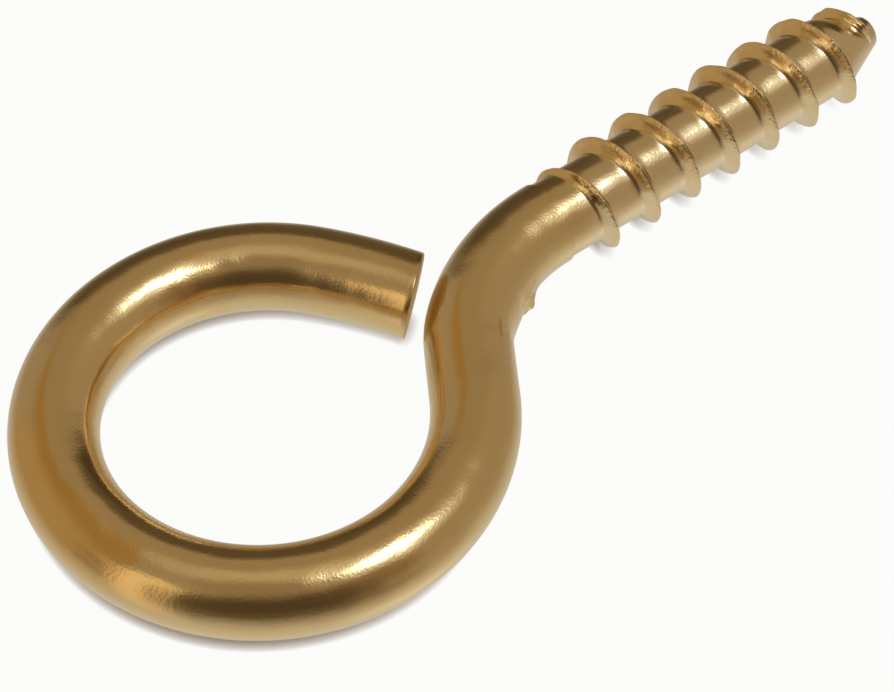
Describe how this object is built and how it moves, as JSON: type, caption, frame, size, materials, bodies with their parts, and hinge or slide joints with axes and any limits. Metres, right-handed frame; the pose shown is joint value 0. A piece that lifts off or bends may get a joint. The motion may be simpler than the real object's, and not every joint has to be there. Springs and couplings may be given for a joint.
{
  "type": "screw eye",
  "caption": "Screw eye bent from one length of brass wire, with an open round eye and a coarse wood thread on its shank, lying flat.",
  "frame": {"origin": "centre of the round of the eye, on the centreline of the wire", "axes": "+X along the shank from the eye to the tip, +Z straight out of the plane of the eye, the neck turning aside towards -Y"},
  "size_m": [0.0363, 0.0166, 0.0038],
  "materials": {
    "brass_wire": "bright brass wire, drawn and bent, with faint die marks and small bright specks"
  },
  "bodies": {
    "root": {"screw_eye": "brass_wire"}
  },
  "joints": []
}
